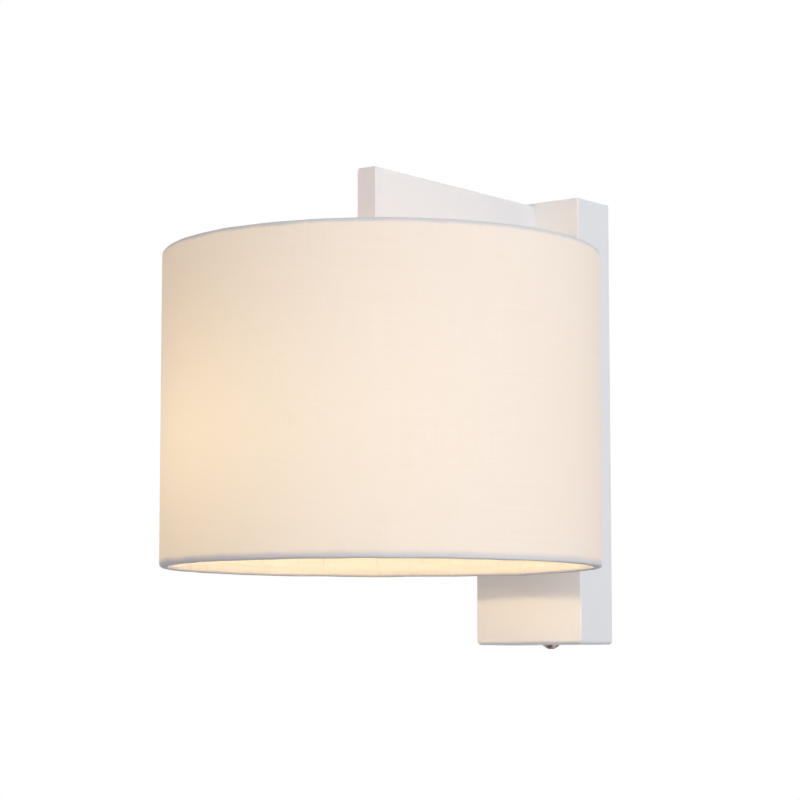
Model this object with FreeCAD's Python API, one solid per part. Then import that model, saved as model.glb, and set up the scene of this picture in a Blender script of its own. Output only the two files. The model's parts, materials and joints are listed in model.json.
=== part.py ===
import FreeCAD, Part

import math
import os

from FreeCAD import Rotation, Vector

# Wall light with a fabric drum shade.
# A flat box hooks onto a bracket on the wall and is held by one screw from below. A hollow
# arm leaves the box near its top, and a lampholder hangs under the arm with a drum shade
# clamped to it by a threaded ring.
# Millimetres. Origin on the wall, at the middle of the box's back. +X is to the right as
# seen from the room, +Y goes into the wall and +Z is up.

# Box on the wall
box_width = 62.0
box_depth = 27.0
box_height = 217.0
box_wall = 1.5
box_side_radius = 1.0
box_lower_radius = 2.0
box_top_radius = 0.6

# Arm, a rectangular tube
arm_thickness = 10.0
arm_height = 30.0
arm_reach = 127.0
arm_drop = 1.5
arm_wall = 1.5
arm_edge_radius = 0.7
arm_cap_thickness = 1.5
arm_cap_spigot = 6.0
arm_block_length = 14.0
arm_screw_spacing = 18.0

# Drum shade
shade_diameter = 200.0
shade_height = 143.2
axis_from_arm_end = 11.0
shade_gap = 9.4
fabric_thickness = 0.6
liner_thickness = 0.5
ring_wire_radius = 1.5
wrap_angle = 255.0
spoke_wire_radius = 1.75
spoke_angles = (90.0, 210.0, 330.0)
spoke_bend_radius = 15.0
spoke_slope_run = 17.65
spoke_weld = 0.35
carrier_radius = 30.0
carrier_thickness = 1.2

# Sheet metal inside the box
bracket_width = 40.0
bracket_thickness = 1.5
bracket_bend = 1.0
foot_depth = 15.0
tab_width = 30.0
joggle_below_top = 21.0
joggle_rise = 6.0
hook_width = 34.0
hook_thickness = 1.5
hook_depth = 14.0
hook_leg = 9.0
hook_from_wall = 1.0
wall_slot_spacing = 120.0
wall_slot_length = 12.0
wall_slot_width = 5.0

# Cable entry
entry_height = 18.0
entry_bore_radius = 4.0
grommet_hole_radius = 6.5
grommet_lip = 2.0
grommet_lip_thickness = 1.5
dish_radius = 9.5
dish_depth = 2.4
dish_flare = 1.5

# Terminal block
terminal_height = -22.0
pole_pitch = 11.0
pole_width = 6.2
pole_length = 17.0
pole_depth = 10.0
pole_corner_radius = 1.2
tower_radius = 2.9
tower_depth = 14.0
tower_offset = 4.6
web_depth = 4.0
web_inset = 1.0
clamp_radius = 2.1
clamp_bore_radius = 1.4
clamp_length = 15.0
clamp_axis_depth = 6.2

# Screws, nuts and washers, as shank radius, head radius and head height
m4_radius = 2.0
m4_head_radius = 4.1
m4_head_height = 2.1
m25_radius = 1.25
m25_head_radius = 2.2
m25_head_height = 1.6
clamp_screw_radius = 1.3
clamp_screw_head_radius = 1.7
clamp_screw_head_height = 1.4
cover_screw_from_wall = 7.4
cover_screw_length = 9.0
cover_hole_radius = 2.3
foot_bush_radius = 3.4
foot_bush_height = 2.2
foot_bush_shank_radius = 2.8
arm_screw_length = 14.0
m4_nut_flats = 7.0
m4_nut_height = 3.2
washer_radius = 3.7
washer_thickness = 0.9
block_screw_length = 4.6
recess_width = 0.9
recess_depth = 1.1
recess_share = 0.55
slot_cut = 0.6
cross_head_edge = 0.1
slot_head_edge = 0.5

# Earth connections
earth_x = 12.0
earth_above_floor = 23.0
earth_stud_length = 9.0
tag_radius = 3.9
tag_thickness = 0.8
tag_barrel_radius = 1.6
tag_barrel_length = 5.0
tag_neck = 6.0

# Wires inside the light
wire_radius = 1.1
core_radius = 0.5
core_tail = 5.0
wire_bend_radius = 5.0
wire_pair_half = 1.35
wire_from_wall = 13.0
wire_rise_x = 6.0
bush_radius = 3.0
bush_bore_radius = 2.6
bush_lip = 1.2
bush_lip_thickness = 1.0
bush_nose = 3.0
backing_plate_height = 28.0
backing_plate_width = 26.0
backing_plate_thickness = 2.0

# Lampholder, on the shade's axis
nipple_radius = 5.0
nipple_bore_radius = 2.7
nipple_length = 11.0
nipple_spigot_radius = 3.2
nipple_spigot_above = 1.0
lock_nut_flats = 14.0
lock_nut_height = 2.5
cap_height = 17.5
cap_neck_radius = 7.0
cap_neck_height = 6.5
cap_radius = 20.0
cap_wall = 1.8
cap_round = 6.0
shoulder_radius = 22.5
shoulder_height = 2.0
skirt_radius = 19.8
skirt_length = 32.0
skirt_plain_length = 8.0
skirt_inner_radius = 16.5
skirt_thread_pitch = 3.0
skirt_thread_depth = 0.5
skirt_lip_radius = 14.6
skirt_lip_height = 2.0
insert_radius = 17.5
insert_height = 7.0
sleeve_radius = 13.45
sleeve_thickness = 0.5
sleeve_length = 23.0
sleeve_flange_radius = 16.2
contact_width = 5.0
contact_thickness = 0.5
contact_reach = 9.0
contact_drop = 0.9
post_width = 5.0
post_height = 5.0
post_x = 10.0

# Threaded ring that clamps the shade
ring_height = 9.0
ring_flange_radius = 26.0
ring_flange_height = 2.0
ring_grip_radius = 23.4
ring_rib_count = 24
ring_rib_radius = 0.8

# Lamp
lamp_length = 105.0
lamp_radius = 30.0
lamp_neck_radius = 12.6
lamp_cone_start = 30.0
lamp_neck_round = 25.0
lamp_neck_in_cap = 3.2
lamp_neck_gap = 0.8
glass_thickness = 0.8
lamp_cap_length = 20.0
lamp_cap_radius = 13.35
lamp_cap_wall = 0.5
lamp_thread_count = 5
lamp_thread_depth = 0.7
insulator_height = 3.3
insulator_tip_radius = 5.2
contact_button_radius = 4.8
contact_button_height = 1.2
contact_button_round = 1.1
stem_radius = 3.2
stem_flare_height = 8.0
stem_length = 46.0
stem_rod_radius = 1.2
filament_count = 4
filament_radius = 0.9
filament_length = 32.0
filament_top_circle = 6.0
filament_low_circle = 9.0
support_radius = 0.4

# Clearances
seat = 0.05
running = 0.1
loose = 0.2
wrap = 0.25

TINY = 1e-6
UP = Vector(0, 0, 1)
TO_ROOM = Vector(0, -1, 0)

# Places worked out from the sizes
box_half_width = box_width / 2
box_half_height = box_height / 2
front_inside = box_wall - box_depth
floor_inside = box_wall - box_half_height
ceiling_inside = box_half_height - box_wall
joggle_start = ceiling_inside - joggle_below_top
earth_z = floor_inside + earth_above_floor
arm_top = box_half_height - arm_drop
arm_bottom = arm_top - arm_height
arm_middle = arm_top - arm_height / 2
arm_end = -box_depth - arm_reach
shade_from_wall = box_depth + arm_reach - axis_from_arm_end
shade_top = arm_bottom - shade_gap
shade_bottom = shade_top - shade_height
shade_radius = shade_diameter / 2
edge_radius = ring_wire_radius + wrap + fabric_thickness
hoop_radius = shade_radius - edge_radius
top_hoop_z = shade_top - edge_radius
bottom_hoop_z = shade_bottom + edge_radius
bracket_front = -bracket_thickness
nut_bottom = arm_bottom - lock_nut_height
cap_rim = nut_bottom - cap_height
shoulder_bottom = cap_rim - shoulder_height
skirt_bottom = shoulder_bottom - skirt_length
insert_bottom = cap_rim - insert_height
sleeve_top = insert_bottom
lamp_tip = sleeve_top - contact_thickness - contact_drop - seat
lamp_bottom = lamp_tip - lamp_length
lamp_middle = lamp_bottom + lamp_radius
lamp_cap_top = lamp_tip - contact_button_height - insulator_height
lamp_cap_rim = lamp_cap_top - lamp_cap_length
neck_top = lamp_cap_rim + lamp_neck_in_cap
arm_screw_heights = (arm_middle - arm_screw_spacing / 2, arm_middle + arm_screw_spacing / 2)
clamp_axis_y = bracket_front - clamp_axis_depth
plate_inside = front_inside + backing_plate_thickness


def unit(vector):
    """The direction of a vector, leaving the vector as it is."""
    return vector * (1.0 / vector.Length)


def corner_arc(before, corner, after, radius):
    """Start, middle and end of the arc that rounds a corner."""
    back = unit(before - corner)
    ahead = unit(after - corner)
    half = back.getAngle(ahead) / 2
    inward = unit(back + ahead)
    centre = corner + inward * (radius / math.sin(half))
    reach = radius / math.tan(half)
    return corner + back * reach, centre - inward * radius, corner + ahead * reach


def rounded_wire(points, radius=0.0, closed=True):
    """Straight runs through the points, with each corner rounded by its radius."""
    count = len(points)
    radii = radius if isinstance(radius, (list, tuple)) else [radius] * count
    corners = range(count) if closed else range(1, count - 1)
    arcs = {}
    for i in corners:
        if radii[i] > 0:
            arcs[i] = corner_arc(points[i - 1], points[i], points[(i + 1) % count], radii[i])
    edges = []
    for i in range(count if closed else count - 1):
        j = (i + 1) % count
        start = arcs[i][2] if i in arcs else points[i]
        end = arcs[j][0] if j in arcs else points[j]
        if (end - start).Length > TINY:
            edges.append(Part.LineSegment(start, end).toShape())
        if j in arcs:
            edges.append(Part.Arc(*arcs[j]).toShape())
    return Part.Wire(edges)


def prism(points, radius, push):
    """A closed outline, rounded and pushed into a solid."""
    return Part.Face(rounded_wire(points, radius)).extrude(push)


def rectangle(width, height, middle=(0.0, 0.0)):
    """Corners of a rectangle as pairs, anticlockwise."""
    x, y = middle
    return [
        (x - width / 2, y - height / 2),
        (x + width / 2, y - height / 2),
        (x + width / 2, y + height / 2),
        (x - width / 2, y + height / 2),
    ]


def slab(outline, radius, y_back, depth):
    """An outline in x and z, pushed towards the room from y_back."""
    points = [Vector(x, y_back, z) for x, z in outline]
    return prism(points, radius, TO_ROOM * depth)


def rod(start, direction, radius, length):
    """A round bar from a point."""
    return Part.makeCylinder(radius, length, start, direction)


def fuse(first, *others):
    """One solid out of several, with the seams between coplanar faces removed."""
    return first.fuse(list(others)).removeSplitter()


def turned(profile, radius=0.0, axis_y=-shade_from_wall):
    """A closed profile of (radius, z) pairs turned about the shade's axis."""
    points = [Vector(r, 0, z) for r, z in profile]
    solid = Part.Face(rounded_wire(points, radius)).revolve(Vector(0, 0, 0), UP, 360)
    return solid.translated(Vector(0, axis_y, 0))


def aimed(shape, seat_point, direction):
    """A shape made along +Z at the origin, moved to a point and turned along a direction."""
    placed = shape.copy()
    placed.Placement = FreeCAD.Placement(seat_point, Rotation(UP, direction))
    return placed


def dome_arc(radius, rise, z_pole):
    """Arc in the section plane from a dome's pole on the axis to its rim, which lies higher."""
    sphere = (radius * radius + rise * rise) / (2 * rise)
    half = math.asin(radius / sphere) / 2
    middle = Vector(sphere * math.sin(half), 0, z_pole + sphere * (1 - math.cos(half)))
    return Part.Arc(Vector(0, 0, z_pole), middle, Vector(radius, 0, z_pole + rise)).toShape()


def screw(seat_point, direction, radius, length, head_radius, head_height, cut="slot"):
    """A screw whose shank runs from its seat along the direction, under a domed head."""
    edge = head_height * (cross_head_edge if cut == "cross" else slot_head_edge)
    corners = [
        Vector(head_radius, 0, -edge),
        Vector(head_radius, 0, 0),
        Vector(radius, 0, 0),
        Vector(radius, 0, length),
        Vector(0, 0, length),
        Vector(0, 0, -head_height),
    ]
    sides = [Part.LineSegment(a, b).toShape() for a, b in zip(corners, corners[1:])]
    dome = dome_arc(head_radius, head_height - edge, -head_height)
    body = Part.Face(Part.Wire([dome] + sides)).revolve(Vector(0, 0, 0), UP, 360)
    if cut == "cross":
        bar = recess_bar(2 * head_radius * recess_share, recess_width, recess_depth)
        bars = [bar, bar.rotated(Vector(0, 0, 0), UP, 90)]
    else:
        bars = [recess_bar(2 * (head_radius + loose), slot_cut, head_height / 2)]
    cutters = [b.translated(Vector(0, 0, -head_height)) for b in bars]
    return aimed(body.cut(cutters), seat_point, direction)


def recess_bar(span, width, depth):
    """A bar along x, centred over the origin, that cuts one stroke of a screw's recess."""
    return Part.makeBox(span, width, depth, Vector(-span / 2, -width / 2, 0))


def hexagon(flats, height, bore_radius):
    """A plain nut made along +Z."""
    corner = flats / math.sqrt(3)
    points = []
    for i in range(6):
        angle = math.radians(60 * i)
        points.append(Vector(corner * math.cos(angle), corner * math.sin(angle), 0))
    nut = prism(points, 0.0, UP * height)
    return nut.cut(rod(Vector(0, 0, 0), UP, bore_radius, height))


def washer(outer, inner, thickness):
    """A flat washer made along +Z."""
    disc = rod(Vector(0, 0, 0), UP, outer, thickness)
    return disc.cut(rod(Vector(0, 0, 0), UP, inner, thickness))


def bent_strip(path, thickness, inner_radius, x_start, width):
    """A strip of sheet bent along a path of (y, z) pairs, lying to the left of the path."""
    points = [Vector(x_start, y, z) for y, z in path]
    sides = [unit(b - a) for a, b in zip(points, points[1:])]
    normals = [Vector(0, -s.z, s.y) for s in sides]
    other = [points[0] + normals[0] * thickness]
    near_radii = [0.0]
    far_radii = [0.0]
    for i in range(1, len(points) - 1):
        n1, n2 = normals[i - 1], normals[i]
        other.append(points[i] + (n1 + n2) * (thickness / (1 + n1.dot(n2))))
        left_turn = n1.dot(sides[i]) > 0
        near_radii.append(inner_radius + (thickness if left_turn else 0.0))
        far_radii.append(inner_radius + (0.0 if left_turn else thickness))
    other.append(points[-1] + normals[-1] * thickness)
    near_radii.append(0.0)
    far_radii.append(0.0)
    outline = points + other[::-1]
    radii = near_radii + far_radii[::-1]
    return prism(outline, radii, Vector(width, 0, 0))


def tube_along(points, bend, radius):
    """A round tube along straight runs joined by arcs."""
    path = rounded_wire(points, bend, closed=False)
    start = unit(points[1] - points[0])
    ring = Part.Wire(Part.Circle(points[0], start, radius).toShape())
    return path.makePipeShell([ring], True, False)


def box_cover():
    """The painted box: open towards the wall, with rounded lower and front edges."""
    corner = Vector(-box_half_width, -box_depth, -box_half_height)
    shell = Part.makeBox(box_width, box_depth, box_height, corner)

    def edges(chosen):
        return [e for e in shell.Edges if chosen(e.BoundBox)]

    shell = shell.makeFillet(
        box_lower_radius,
        edges(lambda b: b.ZMax < TINY - box_half_height and b.YMin < -TINY),
    )
    shell = shell.makeFillet(
        box_side_radius,
        edges(lambda b: b.ZLength > box_height / 2 and b.YMax < TINY - box_depth),
    )
    shell = shell.makeFillet(
        box_top_radius,
        edges(lambda b: b.ZMin > box_half_height - TINY and b.YMin < -TINY),
    )
    cavity = Part.makeBox(
        box_width - 2 * box_wall,
        box_depth - box_wall,
        box_height - 2 * box_wall,
        Vector(box_wall - box_half_width, front_inside, floor_inside),
    )
    shell = shell.cut(cavity)
    foot_hole = rod(
        Vector(0, -cover_screw_from_wall, -box_half_height), UP, cover_hole_radius, box_wall
    )
    shell = shell.cut(foot_hole)
    return shell.cut(arm_fixing_holes(front_inside, box_wall))


def arm_fixing_holes(y_back, depth):
    """Cutters for the two arm screws and the bush between them."""
    holes = [
        rod(Vector(0, y_back, z), TO_ROOM, m4_radius + loose, depth) for z in arm_screw_heights
    ]
    holes.append(rod(Vector(0, y_back, arm_middle), TO_ROOM, bush_radius + seat, depth))
    return holes


def box_hook():
    """Strip under the box's top whose leg drops behind the bracket's tab."""
    path = [
        (-hook_from_wall, ceiling_inside - hook_leg),
        (-hook_from_wall, ceiling_inside),
        (-hook_from_wall - hook_depth, ceiling_inside),
    ]
    return bent_strip(path, hook_thickness, bracket_bend, -hook_width / 2, hook_width)


def tab_back():
    """How far from the wall the bracket's tab stands, clear of the hook and its bend."""
    return hook_from_wall + hook_thickness + bracket_bend + loose


def wall_bracket():
    """Pressed strip: a foot for the cover screw, slots, a dished cable entry and a tab."""
    tab_top = ceiling_inside - hook_thickness
    path = [
        (-foot_depth, floor_inside),
        (0.0, floor_inside),
        (0.0, joggle_start),
        (-tab_back(), joggle_start + joggle_rise),
        (-tab_back(), tab_top),
    ]
    strip = bent_strip(path, bracket_thickness, bracket_bend, -bracket_width / 2, bracket_width)
    side = (bracket_width - tab_width) / 2
    for x in (-bracket_width / 2, bracket_width / 2 - side):
        notch = Part.makeBox(
            side, box_depth, box_half_height, Vector(x, -box_depth, joggle_start - bracket_bend)
        )
        strip = strip.cut(notch)
    strip = strip.fuse(entry_dish()).cut(entry_dish_hollow())
    screw_at = Vector(0, -cover_screw_from_wall, floor_inside)
    cutters = [rod(screw_at, UP, foot_bush_shank_radius + seat, bracket_thickness)]
    for z in (-wall_slot_spacing / 2, wall_slot_spacing / 2):
        outline = rectangle(wall_slot_width, wall_slot_length, (0.0, z))
        cutters.append(slab(outline, wall_slot_width / 2, 0.0, bracket_thickness))
    for x in terminal_screw_places():
        cutters.append(
            rod(Vector(x, 0, terminal_height), TO_ROOM, m25_radius + seat, bracket_thickness)
        )
    cutters.append(rod(Vector(earth_x, 0, earth_z), TO_ROOM, m4_radius + seat, bracket_thickness))
    return strip.cut(cutters).removeSplitter()


def foot_bush():
    """Threaded bush pressed into the bracket's foot from above, for the cover screw."""
    bore = m4_radius + seat
    foot_top = floor_inside + bracket_thickness
    profile = [
        (bore, floor_inside),
        (foot_bush_shank_radius, floor_inside),
        (foot_bush_shank_radius, foot_top),
        (foot_bush_radius, foot_top),
        (foot_bush_radius, foot_top + foot_bush_height),
        (bore, foot_top + foot_bush_height),
    ]
    return turned(profile, 0.0, -cover_screw_from_wall)


def dish_profile(grow):
    """Half of the dish's section about the cable entry, as (radius, depth) pairs."""
    depth = dish_depth + (bracket_thickness if grow else 0.0)
    radius = dish_radius + (bracket_thickness if grow else 0.0)
    return [(0.0, 0.0), (radius + dish_flare, 0.0), (radius, depth), (0.0, depth)]


def entry_turned(profile):
    """A profile of (radius, depth) pairs turned about the cable entry's axis."""
    return aimed(turned(profile, 0.0, 0.0), Vector(0, 0, entry_height), TO_ROOM)


def entry_dish():
    """The raised round around the cable entry, still solid."""
    return entry_turned(dish_profile(True))


def entry_dish_hollow():
    """What the press takes out behind the raised round, and the grommet's hole."""
    hole = rod(Vector(0, 0, entry_height), TO_ROOM, grommet_hole_radius, box_depth)
    return [entry_turned(dish_profile(False)), hole]


def cable_grommet():
    """Rubber ring whose groove holds the edge of the cable entry."""
    back = dish_depth - grommet_lip_thickness
    front = dish_depth + bracket_thickness + grommet_lip_thickness
    lip = grommet_hole_radius + grommet_lip
    neck = grommet_hole_radius - seat
    profile = [
        (entry_bore_radius, back),
        (lip, back),
        (lip, dish_depth),
        (neck, dish_depth),
        (neck, dish_depth + bracket_thickness),
        (lip, dish_depth + bracket_thickness),
        (lip, front),
        (entry_bore_radius, front),
    ]
    lip_round = grommet_lip_thickness / 3
    return aimed(
        turned(profile, [0, lip_round, 0, 0, 0, 0, lip_round, 0], 0.0),
        Vector(0, 0, entry_height),
        TO_ROOM,
    )


def pole_places():
    """The x of each pole of the terminal block."""
    return [-pole_pitch, 0.0, pole_pitch]


def terminal_screw_places():
    """The x of each screw that holds the terminal block."""
    return [-pole_pitch / 2, pole_pitch / 2]


def tower_places():
    """The x and z of each clamping screw of the terminal block."""
    heights = (terminal_height - tower_offset, terminal_height + tower_offset)
    return [(x, z) for x in pole_places() for z in heights]


def terminal_block():
    """Moulded strip of three poles with a screw tower over each end of a pole."""
    web = slab(
        rectangle(2 * pole_pitch, pole_length - 2 * web_inset, (0.0, terminal_height)),
        0.0,
        bracket_front,
        web_depth,
    )
    poles = [
        slab(
            rectangle(pole_width, pole_length, (x, terminal_height)),
            pole_corner_radius,
            bracket_front,
            pole_depth,
        )
        for x in pole_places()
    ]
    towers = [
        rod(Vector(x, bracket_front, z), TO_ROOM, tower_radius, tower_depth)
        for x, z in tower_places()
    ]
    block = fuse(web, *poles, *towers)
    low = terminal_height - pole_length / 2
    cutters = [
        rod(Vector(x, clamp_axis_y, low), UP, clamp_radius + seat, pole_length)
        for x in pole_places()
    ]
    cutters += [
        rod(Vector(x, clamp_axis_y, z), TO_ROOM, clamp_screw_head_radius + loose, tower_depth)
        for x, z in tower_places()
    ]
    cutters += [
        rod(Vector(x, bracket_front, terminal_height), TO_ROOM, m25_radius + loose, web_depth)
        for x in terminal_screw_places()
    ]
    return block.cut(cutters)


def terminal_clamps():
    """Brass tubes in the poles, drilled for their screws."""
    clamps = []
    for x in pole_places():
        start = Vector(x, clamp_axis_y, terminal_height - clamp_length / 2)
        tube = rod(start, UP, clamp_radius, clamp_length)
        cutters = [rod(start, UP, clamp_bore_radius, clamp_length)]
        for tower_x, z in tower_places():
            if tower_x == x:
                hole = Vector(x, clamp_axis_y, z)
                cutters.append(rod(hole, TO_ROOM, clamp_screw_radius + seat, clamp_radius * 2))
        clamps.append(tube.cut(cutters))
    return Part.makeCompound(clamps)


def terminal_screws():
    """Screws that press the wires in the brass tubes."""
    tip = clamp_axis_y - core_radius - seat
    head_seat = bracket_front - tower_depth + clamp_screw_head_height
    length = tip - head_seat
    return Part.makeCompound(
        [
            screw(
                Vector(x, head_seat, z),
                Vector(0, 1, 0),
                clamp_screw_radius,
                length,
                clamp_screw_head_radius,
                clamp_screw_head_height,
            )
            for x, z in tower_places()
        ]
    )


def block_screws():
    """Two screws that hold the terminal block to the bracket."""
    head_seat = bracket_front - web_depth
    return Part.makeCompound(
        [
            screw(
                Vector(x, head_seat, terminal_height),
                Vector(0, 1, 0),
                m25_radius,
                block_screw_length,
                m25_head_radius,
                m25_head_height,
            )
            for x in terminal_screw_places()
        ]
    )


def cover_screw():
    """Domed screw through the underside of the box into the bracket's foot."""
    return screw(
        Vector(0, -cover_screw_from_wall, -box_half_height),
        UP,
        m4_radius,
        cover_screw_length,
        m4_head_radius,
        m4_head_height,
        "cross",
    )


def earth_stud():
    """Stud pressed into the bracket, flush with its back."""
    return rod(Vector(earth_x, 0, earth_z), TO_ROOM, m4_radius, earth_stud_length)


def earth_washer():
    """Washer between the bracket and the earth tag."""
    return aimed(
        washer(washer_radius, m4_radius + running, washer_thickness),
        Vector(earth_x, bracket_front, earth_z),
        TO_ROOM,
    )


def earth_nut():
    """Nut on the earth stud, over the tag."""
    stack = bracket_thickness + washer_thickness + tag_thickness
    return aimed(
        hexagon(m4_nut_flats, m4_nut_height, m4_radius + seat),
        Vector(earth_x, -stack, earth_z),
        TO_ROOM,
    )


def ring_tag():
    """Ring tag made flat at the origin, with its barrel towards +Y."""
    barrel_start = Vector(0, tag_neck, tag_barrel_radius)
    barrel_end = tag_neck + tag_barrel_length
    neck = Part.makeBox(
        tag_barrel_radius * 2, barrel_end, tag_thickness, Vector(-tag_barrel_radius, 0, 0)
    )
    ring = rod(Vector(0, 0, 0), UP, tag_radius, tag_thickness)
    barrel = rod(barrel_start, Vector(0, 1, 0), tag_barrel_radius, tag_barrel_length)
    body = fuse(ring, neck, barrel)
    hole = rod(Vector(0, 0, 0), UP, m4_radius + running, tag_thickness)
    bore = rod(barrel_start, Vector(0, 1, 0), wire_radius + seat, tag_barrel_length)
    return body.cut([hole, bore])


def tag_on(point, angle):
    """A ring tag lying against a face that looks towards the room or the wall."""
    tag = ring_tag()
    tag.rotate(Vector(0, 0, 0), UP, angle)
    towards = TO_ROOM if point.y > front_inside / 2 else Vector(0, 1, 0)
    tag.rotate(Vector(0, 0, 0), Vector(1, 0, 0), 90 if towards.y < 0 else -90)
    return tag.translated(point)


def tag_places():
    """Seat and turn of the tags: on the earth stud, and under the lower arm screw."""
    return [
        (Vector(earth_x, bracket_front - washer_thickness, earth_z), 0.0),
        (Vector(0, plate_inside, arm_screw_heights[0]), 0.0),
    ]


def earth_tags():
    """Crimped ring tags on the ends of the earth wires."""
    return Part.makeCompound([tag_on(point, angle) for point, angle in tag_places()])


def arm_tube():
    """Rectangular tube of the arm, with a hole under it for the lampholder's nipple."""
    length = arm_reach - arm_cap_thickness
    middle = (0.0, arm_middle)
    outer = slab(
        rectangle(arm_thickness, arm_height, middle), arm_edge_radius, -box_depth, length
    )
    inner = rectangle(arm_thickness - 2 * arm_wall, arm_height - 2 * arm_wall, middle)
    tube = outer.cut(slab(inner, 0.0, -box_depth, length))
    hole = rod(
        Vector(0, -shade_from_wall, arm_bottom), UP, nipple_spigot_radius + seat, arm_wall
    )
    return tube.cut(hole)


def arm_end_cap():
    """Plate that closes the arm, with a hollow spigot inside the tube."""
    middle = (0.0, arm_middle)
    plate = slab(
        rectangle(arm_thickness, arm_height, middle),
        arm_edge_radius,
        arm_end + arm_cap_thickness,
        arm_cap_thickness,
    )
    inside = 2 * arm_wall + 2 * seat
    spigot_width = arm_thickness - inside
    spigot_height = arm_height - inside
    back = arm_end + arm_cap_thickness + arm_cap_spigot
    spigot = slab(rectangle(spigot_width, spigot_height, middle), 0.0, back, arm_cap_spigot)
    hollow = slab(
        rectangle(spigot_width - 2 * arm_wall, spigot_height - 2 * arm_wall, middle),
        0.0,
        back,
        arm_cap_spigot,
    )
    return plate.fuse(spigot.cut(hollow)).removeSplitter()


def arm_block():
    """Tapped block in the wall end of the arm."""
    inside = 2 * arm_wall + 2 * seat
    block = slab(
        rectangle(arm_thickness - inside, arm_height - inside, (0.0, arm_middle)),
        0.0,
        -box_depth,
        arm_block_length,
    )
    cutters = [
        rod(Vector(0, -box_depth, z), TO_ROOM, m4_radius + seat, arm_block_length)
        for z in arm_screw_heights
    ]
    cutters.append(
        rod(Vector(0, -box_depth, arm_middle), TO_ROOM, bush_radius + seat, arm_block_length)
    )
    return block.cut(cutters)


def arm_backing_plate():
    """Plate inside the box that spreads the arm's load."""
    plate = slab(
        rectangle(backing_plate_width, backing_plate_height, (0.0, arm_middle)),
        arm_wall,
        plate_inside,
        backing_plate_thickness,
    )
    return plate.cut(arm_fixing_holes(plate_inside, backing_plate_thickness))


def arm_screw_stack(index):
    """Where the washer of an arm screw starts: the lower one lies on the earth tag."""
    return plate_inside + (tag_thickness if index == 0 else 0.0)


def arm_washers():
    """Spring washers under the arm screws."""
    rings = []
    for i, z in enumerate(arm_screw_heights):
        rings.append(
            aimed(
                washer(washer_radius, m4_radius + running, washer_thickness),
                Vector(0, arm_screw_stack(i), z),
                Vector(0, 1, 0),
            )
        )
    return Part.makeCompound(rings)


def arm_screws():
    """Two screws from inside the box into the arm's block."""
    return Part.makeCompound(
        [
            screw(
                Vector(0, arm_screw_stack(i) + washer_thickness, z),
                TO_ROOM,
                m4_radius,
                arm_screw_length,
                m4_head_radius,
                m4_head_height,
                "cross",
            )
            for i, z in enumerate(arm_screw_heights)
        ]
    )


def wire_bush():
    """Snap-in bush that guards the wires where they enter the arm."""
    nose = backing_plate_thickness + box_wall + bush_nose
    profile = [
        (bush_bore_radius, -bush_lip_thickness),
        (bush_radius + bush_lip, -bush_lip_thickness),
        (bush_radius + bush_lip, 0.0),
        (bush_radius, 0.0),
        (bush_radius, nose),
        (bush_bore_radius, nose),
    ]
    return aimed(turned(profile, 0.0, 0.0), Vector(0, plate_inside, arm_middle), TO_ROOM)


def lead_wire(side):
    """Insulated wire from the terminal block through the arm to the lampholder."""
    pole_x = -pole_pitch if side < 0 else 0.0
    start_z = terminal_height + clamp_length / 2
    rise_x = side * wire_rise_x
    pair_x = side * wire_pair_half
    end_x = side * (post_x - post_width / 2)
    post_middle = cap_rim + post_height / 2
    points = [
        Vector(pole_x, clamp_axis_y, start_z),
        Vector(pole_x, clamp_axis_y, entry_height - wire_bend_radius * 3),
        Vector(rise_x, -wire_from_wall, entry_height + wire_bend_radius),
        Vector(rise_x, -wire_from_wall, arm_middle - arm_height),
        Vector(pair_x, -wire_from_wall, arm_middle - arm_height / 2),
        Vector(pair_x, -wire_from_wall, arm_middle),
        Vector(pair_x, -shade_from_wall, arm_middle),
        Vector(pair_x, -shade_from_wall, post_middle),
        Vector(end_x, -shade_from_wall, post_middle),
    ]
    radii = [0, wire_bend_radius, wire_bend_radius, wire_bend_radius, wire_bend_radius]
    radii += [wire_bend_radius, wire_bend_radius, wire_bend_radius / 2, 0]
    cover = tube_along(points, radii, wire_radius)
    low_tail = rod(points[0], Vector(0, 0, -1), core_radius, core_tail)
    high_tail = rod(points[-1], Vector(side, 0, 0), core_radius, post_width / 2)
    return fuse(cover, low_tail, high_tail)


def earth_wire_block():
    """Wire from the terminal block down to the tag on the bracket."""
    seat_point, _ = tag_places()[0]
    barrel_y = seat_point.y - tag_barrel_radius
    barrel_end = earth_z + tag_neck + tag_barrel_length
    start_z = terminal_height - clamp_length / 2
    points = [
        Vector(pole_pitch, clamp_axis_y, start_z),
        Vector(pole_pitch, clamp_axis_y, start_z - wire_bend_radius),
        Vector(earth_x, barrel_y, barrel_end + wire_bend_radius),
        Vector(earth_x, barrel_y, barrel_end - tag_barrel_length / 2),
    ]
    cover = tube_along(points, wire_bend_radius, wire_radius)
    return fuse(cover, rod(points[0], UP, core_radius, core_tail))


def earth_wire_arm():
    """Wire from the terminal block up to the tag under the arm's lower screw."""
    seat_point, _ = tag_places()[1]
    barrel_y = seat_point.y + tag_barrel_radius
    barrel_end = seat_point.z - tag_neck - tag_barrel_length
    start_z = terminal_height + clamp_length / 2
    points = [
        Vector(pole_pitch, clamp_axis_y, start_z),
        Vector(pole_pitch, clamp_axis_y, entry_height),
        Vector(wire_rise_x * 2, -wire_from_wall, entry_height + arm_height / 2),
        Vector(0, barrel_y, barrel_end - wire_bend_radius * 2),
        Vector(0, barrel_y, barrel_end + tag_barrel_length / 2),
    ]
    cover = tube_along(points, wire_bend_radius, wire_radius)
    return fuse(cover, rod(points[0], Vector(0, 0, -1), core_radius, core_tail))


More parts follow.
